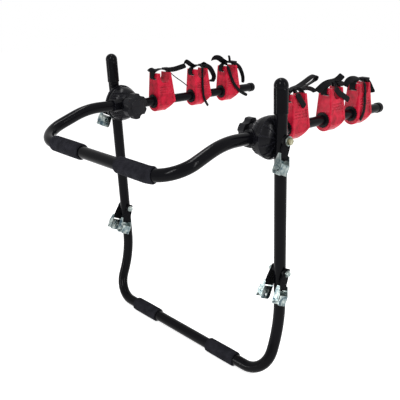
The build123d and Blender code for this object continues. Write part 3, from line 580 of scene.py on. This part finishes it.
# Leg caps: domed sleeves with a rim and a faint ring below the dome, in mm
LEG_TILT = math.radians(3.3)
LEG_X = 265.5
TUBE_R = 12.7
CAP_TOP = 104.5
CAP_LOW = 50.5
CAP_R = 14.1
CAP_BORE_R = TUBE_R + 0.05
CAP_BORE_TOP = CAP_TOP + 0.06
DOME_STEPS = 12

# Steps out from the cap's radius and up, from its lower end and from the foot of its dome
CAP_RIM = [(-0.3, 0), (0.15, 0.5), (0.2, 2.4), (0.1, 3.0), (0, 3.6)]
CAP_RING = [(-0.05, -8), (-0.02, -4.8), (-0.35, -4.2), (-0.35, -3.8), (0, -3.2)]


def cap_profile():
    """(radius, height) pairs in metres: the bore, the rim, the ring and the dome."""
    points = [(0, CAP_BORE_TOP), (CAP_BORE_R, CAP_BORE_TOP), (CAP_BORE_R, CAP_LOW)]
    points += [(CAP_R + out, CAP_LOW + up) for out, up in CAP_RIM]
    points += [(CAP_R + out, CAP_TOP + up) for out, up in CAP_RING]
    for k in range(DOME_STEPS + 1):
        a = math.pi / 2 * k / DOME_STEPS
        points.append((CAP_R * math.cos(a), CAP_TOP + CAP_R * math.sin(a)))
    return [(r * MM, h * MM) for r, h in points]


for side, sign in SIDES:
    place = Matrix.Rotation(LEG_TILT, 4, "X") @ Matrix.Translation(mm(sign * LEG_X, 0, 0))
    cap = revolve("leg_cap_skin_" + side, cap_profile(), place, vinyl, "frame")
    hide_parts("leg_caps")

# Foam sleeves on the two bars, in mm
FOAM_R = 17.1
FOAM_BORE_R = TUBE_R + 0.2
FOAM_SWELL = 0.2
FOAM_EDGE_R = 2.2
FOAM_LIP = 0.2
FOAM_INSET = 3.0
FOAM_EDGE_STEPS = 5
FOAM_FLANK_STEPS = 24
FOAM_BORE_STEPS = 8
FOOT_BAR = mm(0, -19.3, -529.0)
FOOT_CORNER_R = 59.0
FOOT_PAD_L = 86.0
TRUNK_BAR = mm(0, -245.7, -41.1)
TRUNK_KNEE = mm(0, -114.7, 3.9)
TRUNK_LEG_X = 221.5
TRUNK_CORNER_R = 66.0
TRUNK_PAD_L = 100.0


def bar_path(origin, side_dir, straight_end, corner_r):
    """Where a point a distance along a bar is: straight along X, then round the corner."""
    def at(s):
        """The point, the bar's direction and the direction to the inside of the corner."""
        if s <= straight_end:
            return origin + mm(s, 0, 0), Vector((1, 0, 0)), side_dir
        turn = (s - straight_end) / corner_r
        centre = origin + mm(straight_end, 0, 0) + side_dir * corner_r * MM
        along = Vector((1, 0, 0)) * math.cos(turn) + side_dir * math.sin(turn)
        inward = side_dir * math.cos(turn) - Vector((1, 0, 0)) * math.sin(turn)
        return centre - inward * corner_r * MM, along, inward
    return at


def foam_profile(start, length):
    """(distance along, radius) pairs: rounded ends, a slight barrel shape and the tube's bore."""
    end = start + length
    flank_r = FOAM_R - FOAM_SWELL
    edge_r = flank_r - FOAM_EDGE_R
    edge = []
    for k in range(1, FOAM_EDGE_STEPS + 1):
        a = math.pi / 2 * k / FOAM_EDGE_STEPS
        edge.append((FOAM_EDGE_R * (1 - math.cos(a)), edge_r + FOAM_EDGE_R * math.sin(a)))
    points = [(start, FOAM_BORE_R), (start, edge_r - FOAM_LIP)]
    points += [(start + s, r) for s, r in edge]
    for k in range(1, FOAM_FLANK_STEPS):
        share = k / FOAM_FLANK_STEPS
        s = start + FOAM_INSET + (length - 2 * FOAM_INSET) * share
        points.append((s, flank_r + FOAM_SWELL * math.sin(math.pi * share)))
    points += [(end - s, r) for s, r in reversed(edge)]
    points += [(end, edge_r - FOAM_LIP), (end, FOAM_BORE_R)]
    points += [(end - length * k / FOAM_BORE_STEPS, FOAM_BORE_R) for k in range(1, FOAM_BORE_STEPS)]
    return points


trunk_side = (TRUNK_KNEE - TRUNK_BAR).normalized()
foot_path = bar_path(FOOT_BAR, Vector((0, 0, 1)), LEG_X - FOOT_CORNER_R, FOOT_CORNER_R)
trunk_path = bar_path(TRUNK_BAR, trunk_side, TRUNK_LEG_X - TRUNK_CORNER_R, TRUNK_CORNER_R)
sleeves = (
    ("foam_foot_left", foot_path, -137.0, FOOT_PAD_L, "frame", "lower_pads"),
    ("foam_foot_right", foot_path, 135.5, FOOT_PAD_L, "frame", "lower_pads"),
    ("foam_trunk_left", trunk_path, -99.0, TRUNK_PAD_L, "upper", "upper_pads"),
    ("foam_trunk_right", trunk_path, 126.0, TRUNK_PAD_L, "upper", "upper_pads"),
)
for name, path, middle, length, body, node in sleeves:
    profile = [(s, r * MM) for s, r in foam_profile(middle - length / 2, length)]
    pad = sleeve(name, path, profile, foam, body)
    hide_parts(node)

# Webbing tabs: a doubled strip that hangs from its bolt and loops round the buckle's bar
BOLT_DROP = 286.0
WEB_X = 282.85
WEB_INNER_X = 2 * LEG_X - WEB_X
SWING = math.radians(-25)
WEB_WIDTH = 25.0
WEB_LAYER = 1.5
WEB_CORNER = 0.45
WEB_HALF_GAP = 0.95
BAR_DROP = 32.5
LOOP_R = 3.45
LOOP_FROM = 20
LOOP_STEP = 22
LOOP_POINTS = 11

# (height from the bolt, share of the full width), and below it (spread of a layer, height)
WEB_TAPER = [(10.2, 0.5), (8.5, 0.58), (5, 0.65), (0, 0.72), (-9, 0.86), (-18, 0.99)]
WEB_SPREAD = [(0.1, -23), (1.0, -27)]

# Stitches that close the loop: two rows across the tab and one up each of its edges
STITCH_L = 1.7
STITCH_T = 0.55
STITCH_SINK = 0.03
ROW_HEIGHTS = (-20.5, -12.5)
ROW_START = -9.0
ROW_PITCH = 2.25
ROW_STITCHES = 9
SIDE_Y = 9.6
SIDE_START = -19.5
SIDE_PITCH = 2.0
SIDE_STITCHES = 4

mirror_x = Matrix.Scale(-1, 4, (1, 0, 0))
tab_places = {}
for side, sign in SIDES:
    for where, x, drop, outward in (
        ("upper", WEB_X, 0.0, 1), ("outer", WEB_X, BOLT_DROP, 1), ("inner", WEB_INNER_X, BOLT_DROP, -1),
    ):
        bolt = mm(x, drop * math.sin(LEG_TILT), -drop * math.cos(LEG_TILT))
        place = Matrix.Translation(bolt) @ Matrix.Rotation(SWING, 4, "X")
        if outward < 0:
            place = place @ mirror_x
        if sign < 0:
            place = mirror_x @ place
        tab_places[where + "_" + side] = place


def tab_route():
    """(x, z, width share) along the strip, from its outer top end round the bar to its inner top end."""
    layer = [(WEB_HALF_GAP, z, share) for z, share in WEB_TAPER]
    layer += [(WEB_HALF_GAP + spread, z, 1) for spread, z in WEB_SPREAD]
    loop = []
    for k in range(LOOP_POINTS):
        a = math.radians(LOOP_FROM - LOOP_STEP * k)
        loop.append((LOOP_R * math.cos(a), -BAR_DROP + LOOP_R * math.sin(a), 1))
    return layer + loop + [(-x, z, share) for x, z, share in reversed(layer)]


def stitch_spots():
    """(y, z, turn) of each stitch."""
    spots = []
    for k in range(ROW_STITCHES):
        spots += [(ROW_START + ROW_PITCH * k, z, 90) for z in ROW_HEIGHTS]
    for k in range(SIDE_STITCHES):
        spots += [(y, SIDE_START + SIDE_PITCH * k, 0) for y in (-SIDE_Y, SIDE_Y)]
    return spots


def thread_mesh(name, place):
    """Short rounded stitches on both faces of a tab, all in one mesh."""
    lift = WEB_HALF_GAP + WEB_LAYER / 2 - STITCH_SINK
    size = Matrix.Diagonal((STITCH_T * MM, STITCH_T * MM, STITCH_L * MM, 1))
    bm = bmesh.new()
    for y, z, turn in stitch_spots():
        for face in (1, -1):
            at = Matrix.Translation(mm(face * lift, y, z)) @ Matrix.Rotation(math.radians(turn), 4, "X")
            bmesh.ops.create_icosphere(bm, subdivisions=1, radius=0.5, matrix=place @ at @ size)
    return mesh_from(bm, name)


for name, place in tab_places.items():
    turn = place.to_3x3()
    rows = []
    for x, z, share in smooth_path(tab_route(), 2):
        rows.append((place @ mm(x, 0, z), turn @ Vector((0, 1, 0)), share))
    body = "tab_" + name
    tab = strip("webbing_tab_" + name, rows, WEB_WIDTH * MM, WEB_LAYER * MM, webbing, body, WEB_CORNER)
    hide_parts("webbing_" + name)
    thread = new_object("tab_stitches_" + name, thread_mesh("stitches_" + name, place), webbing, body)

# Cradle straps, in each cradle's own frame. A point is x, y, z in mm and the lay in degrees:
# at 0 the strap lies across the arm, at 90 it lies flat against the cradle's side.
ARM_X = 209.0
ARM_DROP = math.radians(-1.0)
STATIONS = {"left": (105.0, 234.0, 348.0), "right": (112.0, 243.0, 353.0)}
SADDLE_BAND = [
    (0, -20, 56, 0), (0, -28.8, 56, 0), (0, -31.6, 58, 0), (0, -32, 65, 0), (0, -30, 70.5, 0),
    (0, -24, 74.5, 0), (0, -14, 77.8, 0), (0, -3.5, 79, 0), (0, 8, 77, 0), (0, 16, 73.4, 0),
    (0, 20.4, 69.4, 0), (0, 22, 63, 0), (0, 22.4, 56, 0),
]

# The loose strands of each strap as (width, points)
STRANDS = {
    "left_1": [
        (11, [(0, -42, 75, 40), (0, -36, 78.5, 45), (0, -29, 79, 45), (0, -22, 77, 30), (0, -14, 78.6, 0)]),
        (13, [
            (0, 10, 78, 20), (0, 22, 75, 50), (0, 38, 74.5, 60), (0, 52, 76, 60), (0, 66, 78.5, 60),
            (0, 80, 81, 60),
        ]),
        (4.5, [(6, 17, 74, 0), (9, 26, 64, 20), (10, 40, 54, 30), (10, 60, 42, 30), (9, 81, 28, 30)]),
    ],
    "left_2": [
        (12, [(0, -53, 88, -50), (0, -47, 91, -60), (0, -38, 87, -60), (0, -28, 81, -50), (0, -16, 78.8, 0)]),
        (13, [
            (0, 2, 79.6, 0), (0, 12, 82, -40), (0, 24, 76, -60), (0, 39, 69, -55), (0, 50, 57, -45),
            (0, 57, 43, -20), (0, 51, 31, 0), (0, 42, 36, 20),
        ]),
        (7, [
            (8, -3, 79.5, 0), (15, -5, 77.5, 20), (19.4, -6, 71, 90), (19.7, -6, 56, 90), (20.9, -6, 38, 90),
            (22.3, -5.5, 16, 90), (22.8, -2, -4, 90), (22.8, 6, -18, 90), (22.6, 14, -28, 90),
        ]),
    ],
    "left_3": [
        (15, [
            (0, -66, 91, -50), (0, -56, 94, -60), (0, -43, 93, -60), (0, -33, 88.5, -60), (0, -24, 83, -50),
            (0, -12, 80, -20), (0, 2, 80, 0),
        ]),
        (8, [(0, 4, 79.5, 0), (0, 2.5, 88, 0), (0, 0, 96, 0)]),
        (11, [
            (0, 10, 78, -20), (0, 22, 73, -50), (0, 40, 64, -50), (0, 52, 50, -40), (0, 60, 32, -20),
            (0, 61, 16, 0),
        ]),
        (9, [
            (8, -22, 77.5, 0), (15, -22, 74.5, 30), (18.9, -21, 66, 90), (20.4, -13, 46, 90),
            (22.1, 0, 22, 90), (22.8, 14, 7, 90), (22.6, 33, -6, 90), (22, 56, -16, 90),
        ]),
    ],
    "right_1": [
        (12, [
            (0, -24, 77, 0), (0, -12, 82, 0), (0, 4, 83.5, 10), (0, 18, 87, 20), (0, 34, 93, 20),
            (0, 48, 98.6, 15), (0, 60, 101, 10), (0, 67, 98, 0), (0, 64, 92, 0), (0, 50, 87, 10),
            (0, 32, 82, 10), (0, 14, 79, 0),
        ]),
        (10, [(0, 14, 77.5, -20), (0, 28, 77, -50), (0, 44, 75.5, -60), (0, 58, 71, -50), (0, 66, 66, -30)]),
        (13, [
            (8, -19, 78.5, 0), (15, -18, 76, 30), (18.3, -16, 69, 90), (19.2, -9, 60, 90), (20.2, -2, 52, 90),
            (20.9, 5, 44, 90),
        ]),
    ],
    "right_2": [
        (15, [
            (0, -57, 66, 30), (0, -46, 71.5, 40), (0, -34, 77, 45), (0, -20, 80.5, 45), (0, -6, 81.5, 45),
            (0, 6, 82, 45), (0, 16, 84, 45), (0, 26, 88.5, 45), (0, 34, 93, 40),
        ]),
        (11, [(0, 4, 81, -20), (0, 18, 78, -50), (0, 32, 75, -60), (0, 42, 71, -60)]),
        (13, [
            (8, -16, 79.5, 0), (15, -15, 77, 30), (18.5, -13, 69, 90), (19.9, -2, 59, 90), (20.6, 10, 53, 90),
            (21.4, 24, 46, 90), (22, 34, 40, 90),
        ]),
    ],
    "right_3": [
        (14, [(0, -62, 67, 30), (0, -52, 77, 45), (0, -40, 81, 50), (0, -24, 81, 45), (0, -8, 80.5, 20)]),
        (15, [(0, 10, 78, 0), (0, 24, 72.5, -20), (0, 36, 63, -30), (0, 46, 52, -30), (0, 58, 41, -20)]),
        (8, [
            (8, -15, 79.5, 0), (15, -14, 77, 20), (19.2, -12, 69, 90), (19.8, -9, 58, 90), (20.8, -8, 44, 90),
            (22.1, -7.5, 22, 90), (22.8, -10, 4, 90), (22.8, -22, -13, 90),
        ]),
    ],
}
BAND_W = 15.0
STRAP_T = 1.9
STRAP_CORNER = 0.3
STRAP_CROWN = 0.15
STRAP_END_SHARES = (0.72, 0.9)
STRAP_STEPS = 6

# Locks on the straps, in mm: where each lies along the arm, and its size
LOCK_Y = {"left_1": 16, "left_2": 14, "left_3": 14, "right_1": 14, "right_2": 14, "right_3": 14}
LOCK_HALF_W = 10.5
LOCK_HALF_L = 9.0
LOCK_LOW = 74.6
LOCK_HIGH = 80.6
LOCK_EDGE = 1.6


def strand_rows(points, place, taper=True):
    """Rows for a strip through strap points; a free end is drawn in a little."""
    rows = []
    turn = place.to_3x3()
    dense = smooth_path(points, STRAP_STEPS)
    for i, (x, y, z, lay) in enumerate(dense):
        before = dense[max(i - 1, 0)]
        after = dense[min(i + 1, len(dense) - 1)]
        along = Vector([b - a for a, b in zip(before[:3], after[:3])]).normalized()
        across = Vector((1, 0, 0))
        across = (across - along * across.dot(along)).normalized()
        flat = along.cross(across)
        a = math.radians(lay)
        wide = across * math.cos(a) + flat * math.sin(a)
        left = len(dense) - 1 - i
        share = STRAP_END_SHARES[left] if taper and left < len(STRAP_END_SHARES) else 1.0
        rows.append((place @ mm(x, y, z), turn @ wide, share))
    return rows


def strap_strip(name, rows, width, body):
    """A strand or the band of a strap."""
    return strip(name, rows, width * MM, STRAP_T * MM, strap_rubber, body, STRAP_CORNER, STRAP_CROWN * MM)


for side, sign in SIDES:
    for number, station in enumerate(STATIONS[side], start=1):
        name = side + "_" + str(number)
        body = "cradle_" + name
        place = Matrix.Rotation(ARM_DROP, 4, "X") @ Matrix.Translation(mm(sign * ARM_X, station, 0))
        band_rows = strand_rows(SADDLE_BAND, place, taper=False)
        band = strap_strip("strap_band_" + name, band_rows, BAND_W, body)
        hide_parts("strap_" + name)
        for index, (width, points) in enumerate(STRANDS[name]):
            tail_name = "strap_tail_" + name + "_" + str(index)
            tail = strap_strip(tail_name, strand_rows(points, place), width, body)
        y = LOCK_Y[name]
        lowest = mm(-LOCK_HALF_W, y - LOCK_HALF_L, LOCK_LOW)
        highest = mm(LOCK_HALF_W, y + LOCK_HALF_L, LOCK_HIGH)
        corners = (lowest, highest)
        lock = soft_block("strap_lock_" + name, corners, LOCK_EDGE * MM, strap_rubber, body, place)
